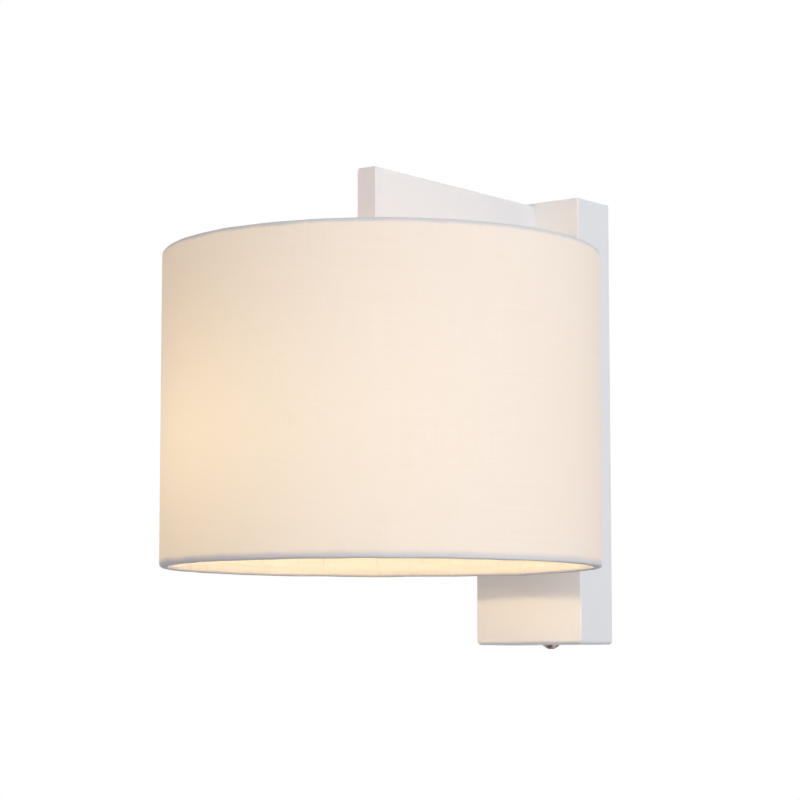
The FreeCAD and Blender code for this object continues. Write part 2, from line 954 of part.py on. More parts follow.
def lamp_nipple():
    """Hollow threaded stub fixed in the underside of the arm."""
    spigot_top = arm_bottom + arm_wall + nipple_spigot_above
    profile = [
        (nipple_bore_radius, arm_bottom - nipple_length),
        (nipple_radius, arm_bottom - nipple_length),
        (nipple_radius, arm_bottom),
        (nipple_spigot_radius, arm_bottom),
        (nipple_spigot_radius, spigot_top),
        (nipple_bore_radius, spigot_top),
    ]
    return turned(profile)


def nipple_nut():
    """Lock nut between the arm and the lampholder."""
    return aimed(
        hexagon(lock_nut_flats, lock_nut_height, nipple_radius + seat),
        Vector(0, -shade_from_wall, nut_bottom),
        UP,
    )


def lampholder_cap():
    """Domed cap that screws onto the nipple."""
    neck_foot = nut_bottom - cap_neck_height
    bore = nipple_radius + seat
    side_top = cap_rim + cap_wall * 2
    profile = [
        (bore, nut_bottom),
        (cap_neck_radius, nut_bottom),
        (cap_neck_radius, neck_foot),
        (cap_radius, side_top + cap_round / 2),
        (cap_radius, cap_rim),
        (cap_radius - cap_wall, cap_rim),
        (cap_radius - cap_wall, side_top + cap_round / 2 - cap_wall),
        (bore, neck_foot - cap_wall),
    ]
    inner_round = cap_round - cap_wall
    return turned(profile, [0, cap_wall / 2, cap_wall, cap_round, 0, 0, inner_round, 0])


def thread_steps(radius, depth, pitch, z_start, count):
    """Crests and roots of a ridged surface going down from z_start."""
    points = []
    for i in range(count):
        top = z_start - i * pitch
        points.append((radius - depth, top))
        points.append((radius, top - pitch / 2))
    points.append((radius - depth, z_start - count * pitch))
    return points


def lampholder_shell():
    """Threaded skirt around the lamp's cap, with the shoulder that the shade hangs from."""
    ledge = insert_bottom
    spigot = cap_radius - cap_wall - running
    spigot_top = cap_rim + cap_wall
    turns = int((skirt_length - skirt_plain_length) / skirt_thread_pitch)
    ridges = thread_steps(
        skirt_radius,
        skirt_thread_depth,
        skirt_thread_pitch,
        shoulder_bottom - skirt_lip_height,
        turns,
    )
    profile = [
        (insert_radius + seat, spigot_top),
        (spigot, spigot_top),
        (spigot, cap_rim),
        (shoulder_radius, cap_rim),
        (shoulder_radius, shoulder_bottom),
        (skirt_radius - skirt_thread_depth, shoulder_bottom),
        *ridges,
        (skirt_radius - skirt_thread_depth, skirt_bottom),
        (skirt_lip_radius, skirt_bottom),
        (skirt_lip_radius, skirt_bottom + skirt_lip_height),
        (skirt_inner_radius, skirt_bottom + skirt_lip_height),
        (skirt_inner_radius, ledge),
        (insert_radius + seat, ledge),
    ]
    return turned(profile)


def lampholder_insert():
    """Ceramic disc that carries the contacts, sitting on the shell's ledge."""
    disc = turned(
        [
            (0.0, insert_bottom),
            (insert_radius, insert_bottom),
            (insert_radius, cap_rim),
            (0.0, cap_rim),
        ]
    )
    cutters = []
    for side in (-1, 1):
        cutters.append(
            rod(
                Vector(side * contact_reach, -shade_from_wall, insert_bottom),
                UP,
                m25_radius + seat,
                insert_height,
            )
        )
    return disc.cut(cutters)


def lampholder_sleeve():
    """Metal sleeve that the lamp screws into."""
    outer = sleeve_radius + sleeve_thickness
    flange = sleeve_top - sleeve_thickness
    low = sleeve_top - sleeve_length
    return turned(
        [
            (sleeve_radius, sleeve_top),
            (sleeve_flange_radius, sleeve_top),
            (sleeve_flange_radius, flange),
            (outer, flange),
            (outer, low),
            (sleeve_radius, low),
        ]
    )


def lampholder_contact():
    """Sprung centre contact under the disc, bent down to the lamp's tip."""
    low = insert_bottom - contact_drop
    path = [
        (contact_width / 2, low),
        (contact_width / 2 - contact_reach / 2, low),
        (-contact_reach / 2, insert_bottom),
        (-contact_reach - contact_width / 2, insert_bottom),
    ]
    strip = bent_strip(path, contact_thickness, contact_thickness, -contact_width / 2, contact_width)
    strip.rotate(Vector(0, 0, 0), UP, -90)
    return strip.translated(Vector(0, -shade_from_wall, 0))


def lampholder_posts():
    """Brass posts on the disc that take the two wires, each with its rivet."""
    posts = []
    for side in (-1, 1):
        block = Part.makeBox(
            post_width,
            post_width,
            post_height,
            Vector(side * post_x - post_width / 2, -shade_from_wall - post_width / 2, cap_rim),
        )
        rivet = rod(
            Vector(side * contact_reach, -shade_from_wall, insert_bottom + seat),
            UP,
            m25_radius,
            insert_height,
        )
        wire_hole = rod(
            Vector(side * (post_x - post_width), -shade_from_wall, cap_rim + post_height / 2),
            Vector(side, 0, 0),
            core_radius + seat,
            post_width * 2,
        )
        posts.append(fuse(block, rivet).cut(wire_hole))
    return Part.makeCompound(posts)


def post_screws():
    """Screws that clamp the wires in the posts."""
    seat_z = cap_rim + post_height
    return Part.makeCompound(
        [
            screw(
                Vector(side * post_x, -shade_from_wall, seat_z + slot_cut),
                Vector(0, 0, -1),
                clamp_screw_radius,
                slot_cut - seat,
                clamp_screw_head_radius,
                clamp_screw_head_height,
            )
            for side in (-1, 1)
        ]
    )


def shade_ring():
    """Ribbed ring on the skirt that clamps the shade against the shoulder."""
    top = shoulder_bottom - carrier_thickness - 2 * seat
    bore = skirt_radius + running
    flange_foot = top - ring_flange_height
    profile = [
        (bore, top),
        (ring_flange_radius, top),
        (ring_flange_radius, flange_foot),
        (ring_grip_radius, flange_foot),
        (ring_grip_radius, top - ring_height),
        (bore, top - ring_height),
    ]
    ring = turned(profile)
    ribs = []
    for i in range(ring_rib_count):
        angle = 2 * math.pi * i / ring_rib_count
        foot = Vector(
            ring_grip_radius * math.cos(angle),
            ring_grip_radius * math.sin(angle) - shade_from_wall,
            top - ring_height,
        )
        ribs.append(rod(foot, UP, ring_rib_radius, ring_height - ring_flange_height))
    return ring.fuse(ribs)


def hoop(z, radius):
    """A wire ring of the shade's frame."""
    return Part.makeTorus(hoop_radius, radius, Vector(0, -shade_from_wall, z), UP)


def carrier_spokes(radius):
    """The wires between the flat ring and the top wire ring, at a given wire radius."""
    spoke_z = shoulder_bottom - seat + spoke_wire_radius - spoke_weld
    path = [
        Vector(shoulder_radius + spoke_wire_radius, 0, spoke_z),
        Vector(hoop_radius - spoke_slope_run, 0, spoke_z),
        Vector(hoop_radius, 0, top_hoop_z),
    ]
    spoke = tube_along(path, spoke_bend_radius, radius)
    spokes = [spoke.rotated(Vector(0, 0, 0), UP, angle) for angle in spoke_angles]
    return [s.translated(Vector(0, -shade_from_wall, 0)) for s in spokes]


def shade_top_hoop():
    """Top wire ring, wrapped in the fabric's upper edge."""
    return hoop(top_hoop_z, ring_wire_radius)


def shade_spider():
    """Flat ring that the holder clamps, with three spokes out to the top wire ring."""
    carrier_top = shoulder_bottom - seat
    inner = skirt_radius + loose
    carrier = turned(
        [
            (inner, carrier_top),
            (carrier_radius, carrier_top),
            (carrier_radius, carrier_top - carrier_thickness),
            (inner, carrier_top - carrier_thickness),
        ]
    )
    spider = carrier.fuse(carrier_spokes(spoke_wire_radius))
    return spider.cut(hoop(top_hoop_z, ring_wire_radius + seat))


def shade_bottom_hoop():
    """Bottom wire ring, wrapped in the fabric's lower edge."""
    return hoop(bottom_hoop_z, ring_wire_radius)


def shade_liner():
    """Stiff translucent liner that the fabric is bonded to."""
    outer = shade_radius - fabric_thickness - seat
    inner = outer - liner_thickness
    low = bottom_hoop_z + edge_radius + seat
    high = top_hoop_z - edge_radius - seat
    return turned([(inner, low), (outer, low), (outer, high), (inner, high)])


def shade_fabric():
    """Fabric skin, rolled inwards around both wire rings and snipped around the spokes."""
    inner = ring_wire_radius + wrap
    faces = []
    for z, turn in ((bottom_hoop_z, -1), (top_hoop_z, 1)):
        faces.append(rolled_edge(z, turn, inner, edge_radius))
    outer = shade_radius
    skin = [
        Vector(outer - fabric_thickness, 0, bottom_hoop_z),
        Vector(outer, 0, bottom_hoop_z),
        Vector(outer, 0, top_hoop_z),
        Vector(outer - fabric_thickness, 0, top_hoop_z),
    ]
    faces.append(Part.Face(rounded_wire(skin)))
    solids = [f.revolve(Vector(0, 0, 0), UP, 360) for f in faces]
    cloth = fuse(*solids).translated(Vector(0, -shade_from_wall, 0))
    return cloth.cut(carrier_spokes(spoke_wire_radius + seat))


def rolled_edge(z, turn, inner, outer):
    """Section of the fabric wrapped round a hoop, from its outer side to past its inner side."""
    turned_in = math.radians(wrap_angle)

    def point(radius, angle):
        return Vector(
            hoop_radius + radius * math.cos(angle), 0, z + turn * radius * math.sin(angle)
        )

    edges = [
        Part.Arc(point(outer, 0), point(outer, turned_in / 2), point(outer, turned_in)).toShape(),
        Part.LineSegment(point(outer, turned_in), point(inner, turned_in)).toShape(),
        Part.Arc(point(inner, turned_in), point(inner, turned_in / 2), point(inner, 0)).toShape(),
        Part.LineSegment(point(inner, 0), point(outer, 0)).toShape(),
    ]
    return Part.Face(Part.Wire(edges))


def lamp_outline(offset):
    """Edges of the lamp glass from its lowest point to its neck, moved in by an offset."""
    radius = lamp_radius - offset
    neck = lamp_neck_radius - offset
    slope = math.radians(lamp_cone_start)
    low = Vector(0, 0, lamp_middle - radius)
    side = Vector(radius * math.cos(slope / 2), 0, lamp_middle - radius * math.sin(slope / 2))
    leave = Vector(radius * math.cos(slope), 0, lamp_middle + radius * math.sin(slope))
    run = (leave.x - neck) / math.tan(slope)
    bend = Vector(neck, 0, leave.z + run)
    rim = Vector(neck, 0, neck_top)
    start, middle, end = corner_arc(leave, bend, rim, lamp_neck_round)
    return [
        Part.Arc(low, side, leave).toShape(),
        Part.LineSegment(leave, start).toShape(),
        Part.Arc(start, middle, end).toShape(),
        Part.LineSegment(end, rim).toShape(),
    ]


def lamp_glass():
    """Clear glass bulb."""
    outside = lamp_outline(0.0)
    inside = lamp_outline(glass_thickness)
    bottom = Part.LineSegment(inside[0].Vertexes[0].Point, outside[0].Vertexes[0].Point)
    rim = Part.LineSegment(outside[-1].Vertexes[-1].Point, inside[-1].Vertexes[-1].Point)
    wire = Part.Wire(Part.__sortEdges__(outside + inside + [bottom.toShape(), rim.toShape()]))
    solid = Part.Face(wire).revolve(Vector(0, 0, 0), UP, 360)
    return solid.translated(Vector(0, -shade_from_wall, 0))


def lamp_cap():
    """Ridged metal cap of the lamp."""
    pitch = lamp_cap_length / (lamp_thread_count + 1)
    ridges = thread_steps(
        lamp_cap_radius, lamp_thread_depth, pitch, lamp_cap_top, lamp_thread_count
    )
    inner = lamp_neck_radius + running
    bore_top = neck_top + lamp_neck_gap
    narrow = lamp_cap_radius - lamp_thread_depth - 2 * lamp_cap_wall
    profile = [
        *ridges,
        (lamp_cap_radius - lamp_thread_depth, lamp_cap_rim),
        (inner, lamp_cap_rim),
        (inner, bore_top),
        (narrow, bore_top),
        (narrow, lamp_cap_top),
    ]
    return turned(profile)


def lamp_insulator():
    """Glass insulator between the cap and its centre contact."""
    wide = lamp_cap_radius - lamp_thread_depth - running
    return turned(
        [
            (0.0, lamp_cap_top),
            (wide, lamp_cap_top),
            (insulator_tip_radius, lamp_cap_top + insulator_height),
            (0.0, lamp_cap_top + insulator_height),
        ]
    )


def lamp_contact():
    """Centre contact on the lamp's tip."""
    low = lamp_tip - contact_button_height
    profile = [
        (0.0, low),
        (contact_button_radius, low),
        (contact_button_radius, lamp_tip),
        (0.0, lamp_tip),
    ]
    return turned(profile, [0, 0, contact_button_round, 0])


def lamp_stem():
    """Glass mount inside the lamp, from its flare in the neck to the rod's end."""
    foot = neck_top - stem_length
    rod_end = foot - filament_length / 2 - support_offset() - support_radius
    wide = lamp_neck_radius - glass_thickness - running
    profile = [
        (0.0, neck_top),
        (wide, neck_top),
        (stem_radius, neck_top - stem_flare_height),
        (stem_radius, foot),
        (stem_rod_radius, foot - stem_radius),
        (stem_rod_radius, rod_end),
        (0.0, rod_end),
    ]
    return turned(profile, [0, 0, stem_flare_height / 2, 0, 0, 0, 0])


def support_offset():
    """How far beyond a filament's end the middle of its support wire lies."""
    return support_radius + 4 * seat


def filament_ends():
    """Upper and lower end of each filament, leaning out from the stem."""
    middle = neck_top - stem_length
    ends = []
    for i in range(filament_count):
        angle = 2 * math.pi * (i + 0.5) / filament_count
        outward = Vector(math.cos(angle), math.sin(angle), 0)
        high = outward * filament_top_circle + Vector(0, 0, middle + filament_length / 2)
        low = outward * filament_low_circle + Vector(0, 0, middle - filament_length / 2)
        ends.append((high, low))
    return ends


def lamp_filaments():
    """Upright light-emitting rods around the stem."""
    rods = []
    for high, low in filament_ends():
        bar = rod(low, high - low, filament_radius, (high - low).Length)
        rods.append(bar.translated(Vector(0, -shade_from_wall, 0)))
    return Part.makeCompound(rods)


def lamp_supports():
    """Level wires from the stem to both ends of the filaments."""
    wires = []
    for high, low in filament_ends():
        outward = unit(Vector(high.x, high.y, 0))
        top_z = high.z + support_offset()
        low_z = low.z - support_offset()
        spans = [
            (stem_radius, filament_top_circle, top_z),
            (stem_rod_radius, filament_low_circle, low_z),
        ]
        for inner, circle, z in spans:
            start = outward * (inner + running) + Vector(0, -shade_from_wall, z)
            length = circle + filament_radius - inner - running
            wires.append(rod(start, outward, support_radius, length))
    return Part.makeCompound(wires)


NODES = {
    "wall_bracket": wall_bracket,
    "foot_bush": foot_bush,
    "cable_grommet": cable_grommet,
    "terminal_block": terminal_block,
    "terminal_clamps": terminal_clamps,
    "terminal_screws": terminal_screws,
    "block_screws": block_screws,
    "earth_stud": earth_stud,
    "earth_washer": earth_washer,
    "earth_nut": earth_nut,
    "earth_tags": earth_tags,
    "earth_wire_block": earth_wire_block,
    "earth_wire_arm": earth_wire_arm,
    "live_wire": lambda: lead_wire(-1),
    "neutral_wire": lambda: lead_wire(1),
    "box_cover": box_cover,
    "box_hook": box_hook,
    "cover_screw": cover_screw,
    "arm_tube": arm_tube,
    "arm_end_cap": arm_end_cap,
    "arm_block": arm_block,
    "arm_backing_plate": arm_backing_plate,
    "arm_screws": arm_screws,
    "arm_washers": arm_washers,
    "wire_bush": wire_bush,
    "lamp_nipple": lamp_nipple,
    "nipple_nut": nipple_nut,
    "lampholder_cap": lampholder_cap,
    "lampholder_shell": lampholder_shell,
    "lampholder_insert": lampholder_insert,
    "lampholder_sleeve": lampholder_sleeve,
    "lampholder_contact": lampholder_contact,
    "lampholder_posts": lampholder_posts,
    "post_screws": post_screws,
    "shade_ring": shade_ring,
    "shade_spider": shade_spider,
    "shade_top_hoop": shade_top_hoop,
    "shade_bottom_hoop": shade_bottom_hoop,
    "shade_liner": shade_liner,
    "shade_fabric": shade_fabric,
    "lamp_glass": lamp_glass,
    "lamp_cap": lamp_cap,
    "lamp_insulator": lamp_insulator,
    "lamp_contact": lamp_contact,
    "lamp_stem": lamp_stem,
    "lamp_filaments": lamp_filaments,
    "lamp_supports": lamp_supports,
}


def main():
    os.makedirs("parts", exist_ok=True)
    for node, make in NODES.items():
        shape = make()
        if not shape.isValid():
            print("not valid:", node)
        print(f"{node}: {len(shape.Solids)} solids, {shape.Volume:.1f} mm3")
        shape.exportStep(f"parts/{node}.step")


main()
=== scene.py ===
import json
import math
import random
from collections import namedtuple

import bmesh
import bpy
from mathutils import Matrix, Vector, noise


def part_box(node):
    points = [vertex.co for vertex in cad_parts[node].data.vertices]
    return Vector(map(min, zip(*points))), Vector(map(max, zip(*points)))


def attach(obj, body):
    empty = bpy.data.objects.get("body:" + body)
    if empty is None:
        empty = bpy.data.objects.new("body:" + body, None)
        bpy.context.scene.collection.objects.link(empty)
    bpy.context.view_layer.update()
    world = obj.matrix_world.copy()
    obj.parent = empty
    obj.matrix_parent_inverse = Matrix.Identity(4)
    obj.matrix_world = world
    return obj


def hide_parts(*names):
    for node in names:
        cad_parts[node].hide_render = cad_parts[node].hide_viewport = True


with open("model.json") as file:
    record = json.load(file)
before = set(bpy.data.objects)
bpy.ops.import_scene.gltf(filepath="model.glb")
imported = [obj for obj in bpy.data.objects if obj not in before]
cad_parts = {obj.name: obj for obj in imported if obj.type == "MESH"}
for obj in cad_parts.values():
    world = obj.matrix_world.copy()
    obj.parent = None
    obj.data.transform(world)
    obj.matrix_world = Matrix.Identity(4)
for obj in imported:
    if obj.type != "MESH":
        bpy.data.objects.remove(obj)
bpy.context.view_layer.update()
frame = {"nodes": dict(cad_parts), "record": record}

# Looks of a wall light with a fabric drum shade. Metres, in the frame of the solids: origin on
# the wall at the middle of the box's back, +X to the right, +Y into the wall, +Z up.

MM = 0.001
NODES = frame["nodes"]

# Places read from the solids
fabric_low, fabric_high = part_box("shade_fabric")
hoop_low, hoop_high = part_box("shade_bottom_hoop")
top_hoop_low, top_hoop_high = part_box("shade_top_hoop")
liner_low, liner_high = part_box("shade_liner")
rods_low, rods_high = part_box("lamp_filaments")
AXIS_Y = (fabric_low.y + fabric_high.y) / 2
SHADE_RADIUS = (fabric_high.x - fabric_low.x) / 2
SHADE_BOTTOM = fabric_low.z
SHADE_TOP = fabric_high.z
WIRE_RADIUS = (hoop_high.z - hoop_low.z) / 2
HOOP_RADIUS = (hoop_high.x - hoop_low.x) / 2 - WIRE_RADIUS
BOTTOM_HOOP_Z = (hoop_low.z + hoop_high.z) / 2
TOP_HOOP_Z = (top_hoop_low.z + top_hoop_high.z) / 2
LINER_WALL = 0.5 * MM
LINER_INSIDE = (liner_high.x - liner_low.x) / 2 - LINER_WALL
RODS_MIDDLE_Z = (rods_low.z + rods_high.z) / 2

# Camera, fitted to the photograph's edges
CAMERA_PLACE = Vector((0.71787, -1.05634, -0.12572))
CAMERA_YAW = math.radians(37.74)
CAMERA_PITCH = math.radians(6.23)
CAMERA_LENS = 115.465
SENSOR_WIDTH = 36.0
CLIP_START = 0.01
CLIP_END = 50.0

# Lights: the lamp, two soft boxes at the right, and a soft light with a colour for each side
LAMP_COLOUR = (1.0, 0.765, 0.447)
LAMP_POWER = 0.195
LAMP_SIZE = 8 * MM
LAMP_DROP = 9 * MM
SOFTBOX = 1.6
SOFTBOX_AIM = Vector((0, AXIS_Y, 0))
KEY_PLACE = Vector((2.2, -1.6, 1.0))
KEY_COLOUR = (0.925, 0.980, 1.0)
KEY_POWER = 24.1
SIDE_PLACE = Vector((2.8, -0.2, 0.6))
SIDE_COLOUR = (0.880, 0.943, 1.0)
SIDE_POWER = 14.2
SOFT_LEFT = (0.755, 0.748, 0.775)
SOFT_RIGHT = (0.648, 0.655, 0.684)
SOFT_FRONT = (0.623, 0.586, 0.597)
SOFT_BELOW = (0.29, 0.29, 0.29)
SOFT_ABOVE = (0.15, 0.14, 0.16)

# Floor
FLOOR_DROP = 1.4
FLOOR_HALF = 2.8
FLOOR_COLOUR = (0.62, 0.62, 0.62)
FLOOR_WHITE = 0.70

# The drum's cloth: its thickness, steps round the drum, up its side and round a wire ring
CLOTH_THICKNESS = 0.5 * MM
CLOTH_STEPS = 1080
SIDE_STEPS = 14
ROLL_STEPS = 20

# Its roll round a wire ring, with corners sharper than the roll, the outer one most on one side
WIRE_GAP = 0.25 * MM
ROLL = WIRE_RADIUS + WIRE_GAP + CLOTH_THICKNESS / 2
WRAP_ANGLE = math.radians(255)
OUTER_ROUND = 1.3 * MM
OUTER_ROUND_CHANGE = 0.5 * MM
SHARPEST_ANGLE = math.radians(-20)
INNER_ROUND = 1.2 * MM

# Its edge turned in against the liner, from the raw cut to the roll
TURN_IN = 7 * MM
TAIL_GAP = 0.05 * MM
TAIL_RADIUS = LINER_INSIDE - CLOTH_THICKNESS / 2 - TAIL_GAP
TAIL_START = 0.9 * MM
TAIL_SHARES = (1.0, 0.72, 0.44, 0.2)
TAIL_BEND_IN = 0.35 * MM
TAIL_BEND_UP = 0.25 * MM

# How the raw cut frays and the edge waves, in steps of noise to the radian
TURN_IN_CHANGE = 1.2 * MM
RAGGED_STEPS = 40.0
FINE_RAGGED_STEPS = 3.1 * RAGGED_STEPS
FINE_RAGGED_SHARE = 0.6
EDGE_WAVE = 0.2 * MM
WAVE_STEPS = 7.0
LOWER_EDGE_SEED = 0.3
UPPER_EDGE_SEED = 6.7
FINE_SEED_STEP = 5
WAVE_SEED_STEP = 9

# Small slanted folds where it is turned in: spacing, width and height in millimetres
FOLD_SEED = 7
FOLD_SPACING = (5, 17)
FOLD_SLANT = 0.7
FOLD_WIDTHS = (0.35, 0.75)
FOLD_HEIGHTS = (0.10, 0.14, 0.20, 0.34)
FOLD_REACH = 3
FOLD_SEARCH_ANGLE = 0.08

# Its seam, which faces the wall, and its snips at the spokes
SEAM_OVERLAP = 10 * MM
SEAM_ANGLE = math.radians(90)
SEAM_RISE = 0.55 * MM
SEAM_RISE_AT_EDGE = 0.6 * SEAM_RISE
SEAM_BLEND = 8
SPOKE_ANGLES = [math.radians(angle) for angle in (90, 210, 330)]
SPOKE_RADIUS = 1.75 * MM
SNIP_GAP = 0.6 * MM
SNIP_ROWS = 12

# Its weave: tones as shares of its colour, and heights against that of the threads
CLOTH_COLOUR = (0.80, 0.785, 0.775)
THREAD_PITCH_X = 0.42 * MM
THREAD_PITCH_Z = 0.46 * MM
THREAD_SWAY = 0.8 * MM
SLUB_LIMITS = (0.74, 0.84)
FLECK_LIMITS = (0.80, 0.86)
STREAK_TONE = 0.07
WEAVE_TONE = 0.012
SLUB_TONE = 0.05
FLECK_TONE = 0.05
STREAK_HEIGHT = 1.2
SLUB_HEIGHT = 1.5

# The lamp's light through it: an even part, and one that falls with distance from a place
EVEN_GLOW = (0.174, 0.082, 0.002)
NEAR_GLOW = (0.138, 0.108, 0.054)
GLOW_FALL = 1.7
GLOW_PLACE = (-20 * MM, AXIS_Y - 40 * MM, RODS_MIDDLE_Z)
GLOW_TONE_POWER = 1.5

# Where that light fades at the drum's lower and upper edge, and at the seam
GLOW_FADE_BOTTOM = (0.9 * MM, 4.2 * MM)
GLOW_FADE_TOP = (2.6 * MM, 0.9 * MM)
GLOW_EDGE_WANDER = 1.4 * MM
SEAM_SHARE = 0.72
SEAM_EDGE_SHARES = (0.96, 1.04)

# The light-emitting rods: dull ends, and beads under the coat
ROD_DULL_END = 0.5 * MM
ROD_BRIGHT_END = 3 * MM
ROD_BEADS = 4200.0
ROD_POWER = 6.0

# Other finishes
WHITE = (1.0, 1.0, 1.0)
CLOUD_LIMITS = (0.3, 0.7)
STRIPE_WAVES = (900.0, 700.0, 260.0)

Fold = namedtuple("Fold", "angle slant width height")


class Graph:
    """Short forms for building the nodes of a material or a world."""

    def __init__(self, owner):
        owner.use_nodes = True
        self.tree = owner.node_tree
        self.tree.nodes.clear()

    def put(self, socket, value):
        """Links an output to a socket, or sets the socket's own value."""
        if isinstance(value, bpy.types.NodeSocket):
            self.tree.links.new(value, socket)
        else:
            socket.default_value = value

    def add(self, kind, settings=None, **inputs):
        """A node of a kind, with its settings and inputs; underscores in names are spaces."""
        node = self.tree.nodes.new(kind)
        for name, value in (settings or {}).items():
            setattr(node, name, value)
        for name, value in inputs.items():
            self.put(node.inputs[name.replace("_", " ")], value)
        return node

    def calculate(self, kind, operation, values):
        """A calculation on numbers or vectors, with its values in the order of its sockets."""
        node = self.add(kind, {"operation": operation})
        for socket, value in zip(node.inputs, values):
            self.put(socket, value)
        return node

    def math(self, operation, *values):
        return self.calculate("ShaderNodeMath", operation, values).outputs[0]

    def vector_math(self, operation, *values):
        return self.calculate("ShaderNodeVectorMath", operation, values)

    def mix(self, share, a, b):
        """One colour turning into another; the colour sockets come after those for numbers."""
        node = self.add("ShaderNodeMix", {"data_type": "RGBA"})
        for place, value in zip((0, 6, 7), (share, a, b)):
            self.put(node.inputs[place], value)
        return node.outputs[2]

    def scale_colour(self, colour, factor):
        node = self.add("ShaderNodeVectorMath", {"operation": "SCALE"}, Scale=factor)
        self.put(node.inputs[0], colour)
        return node.outputs[0]

    def ramp(self, value, low, high, to_low=0.0, to_high=1.0):
        """A smooth change from one value to another between two limits."""
        node = self.add(
            "ShaderNodeMapRange",
            {"interpolation_type": "SMOOTHSTEP"},
            Value=value,
            From_Min=low,
            From_Max=high,
            To_Min=to_low,
            To_Max=to_high,
        )
        return node.outputs[0]

    def place(self):
        """Position on the piece, in the frame's metres."""
        return self.add("ShaderNodeTexCoord").outputs["Object"]

    def split(self, vector):
        return self.add("ShaderNodeSeparateXYZ", Vector=vector).outputs

    def join(self, x, y, z):
        return self.add("ShaderNodeCombineXYZ", X=x, Y=y, Z=z).outputs[0]

    def noise(self, vector, scale, detail=2.0):
        """Noise from 0 to 1, with about scale features to the metre."""
        return self.add("ShaderNodeTexNoise", Vector=vector, Scale=scale, Detail=detail).outputs["Fac"]

    def clouds(self, place, scale, dark, light):
        """Two tones of a colour in soft clouds."""
        cloud = self.ramp(self.noise(place, scale, detail=3.0), *CLOUD_LIMITS)
        return self.mix(cloud, rgba(dark), rgba(light))

    def bump(self, height, distance, strength):
        node = self.add("ShaderNodeBump", Height=height, Distance=distance, Strength=strength)
        return node.outputs[0]

    def seen(self):
        """1 where the camera looks, directly, in a reflection or through glass, and 0 for light."""
        path = self.add("ShaderNodeLightPath").outputs
        seen = self.math("MAXIMUM", path["Is Camera Ray"], path["Is Glossy Ray"])
        return self.math("MAXIMUM", seen, path["Is Transmission Ray"])

    def finish(self, shader, target="ShaderNodeOutputMaterial"):
        output = self.tree.nodes.new(target)
        self.tree.links.new(shader.outputs[0], output.inputs["Surface"])

    def surface(self, **inputs):
        """The one surface shader of a material."""
        self.finish(self.add("ShaderNodeBsdfPrincipled", **inputs))


def rgba(colour):
    """A colour with its alpha."""
    return (*colour, 1.0)


def darker(colour, share):
    return tuple(value * share for value in colour)


def new_material(name):
    material = bpy.data.materials.new(name)
    return material, Graph(material)


def painted_metal():
    """Satin white powder coat with a fine orange peel and faint tone changes."""
    material, g = new_material("white_paint")
    place = g.place()
    peel = g.noise(place, scale=900.0)
    grain = g.noise(place, scale=3200.0, detail=1.0)
    height = g.math("ADD", peel, g.math("MULTIPLY", grain, 0.4))
    gloss = g.noise(place, scale=240.0, detail=3.0)
    g.surface(
        Base_Color=g.clouds(place, scale=18.0, dark=(0.86, 0.86, 0.87), light=(0.89, 0.89, 0.895)),
        Roughness=g.ramp(gloss, *CLOUD_LIMITS, to_low=0.40, to_high=0.50),
        Normal=g.bump(height, distance=0.02 * MM, strength=0.5),
    )
    return material


def metal(name, colour, roughness, grain_scale, depth, painted_reflection=None, cloud_scale=60.0):
    """A metal with a fine grain and cloudy tones, down to a painted reflection if one is given."""
    material, g = new_material(name)
    place = g.place()
    # A painted reflection tone where one is given, else a slightly darker tone of the metal
    dark = painted_reflection or darker(colour, 0.86)
    grain = g.noise(place, grain_scale, detail=3.0)
    g.surface(
        Base_Color=g.clouds(place, cloud_scale, dark, colour),
        Metallic=1.0,
        Roughness=g.ramp(grain, 0.25, 0.75, to_low=roughness * 0.8, to_high=roughness * 1.25),
        Normal=g.bump(grain, depth, strength=0.5),
    )
    return material


def spiral_stripe(g, place, tone, stripe):
    """A second colour that winds along a wire's insulation."""
    x, y, z = g.split(place)
    right, back, up = STRIPE_WAVES
    turn = g.math("ADD", g.math("MULTIPLY", x, right), g.math("MULTIPLY", y, back))
    wave = g.math("SINE", g.math("ADD", turn, g.math("MULTIPLY", z, up)))
    return g.mix(g.ramp(wave, -0.1, 0.1), tone, rgba(stripe))


def moulded(name, colour, roughness, stripe=None):
    """A moulded or coated surface with a fine grain, and a stripe where one is given."""
    material, g = new_material(name)
    place = g.place()
    tone = g.clouds(place, scale=120.0, dark=darker(colour, 0.9), light=colour)
    if stripe:
        tone = spiral_stripe(g, place, tone, stripe)
    grain = g.noise(place, scale=1500.0)
    g.surface(
        Base_Color=tone,
        Roughness=g.ramp(grain, 0.2, 0.8, to_low=roughness * 0.9, to_high=roughness * 1.1),
        Normal=g.bump(grain, distance=0.03 * MM, strength=0.4),
    )
    return material


def clear_glass():
    """Clear lamp glass with faint waves from blowing."""
    material, g = new_material("clear_glass")
    waves = g.noise(g.place(), scale=45.0)
    g.surface(
        Base_Color=rgba((0.98, 0.985, 0.98)),
        Roughness=0.02,
        IOR=1.47,
        Transmission_Weight=1.0,
        Normal=g.bump(waves, distance=0.1 * MM, strength=0.3),
    )
    return material


def glowing_rod():
    """Phosphor coat of the light-emitting rods, bright in the middle and dull at the ends."""
    material, g = new_material("phosphor")
    _, _, z = g.split(g.place())
    low = g.ramp(z, rods_low.z + ROD_DULL_END, rods_low.z + ROD_BRIGHT_END)
    high = g.ramp(z, rods_high.z - ROD_BRIGHT_END, rods_high.z - ROD_DULL_END, 1.0, 0.0)
    bead = g.math("SINE", g.math("MULTIPLY", z, ROD_BEADS))
    beads = g.ramp(bead, -1.0, 1.0, to_low=0.75, to_high=1.0)
    glow = g.math("MULTIPLY", g.math("MULTIPLY", low, high), beads)
    g.surface(
        Base_Color=rgba((0.90, 0.66, 0.20)),
        Roughness=0.55,
        Emission_Color=rgba((1.0, 0.84, 0.52)),
        Emission_Strength=g.math("MULTIPLY", glow, ROD_POWER),
    )
    return material


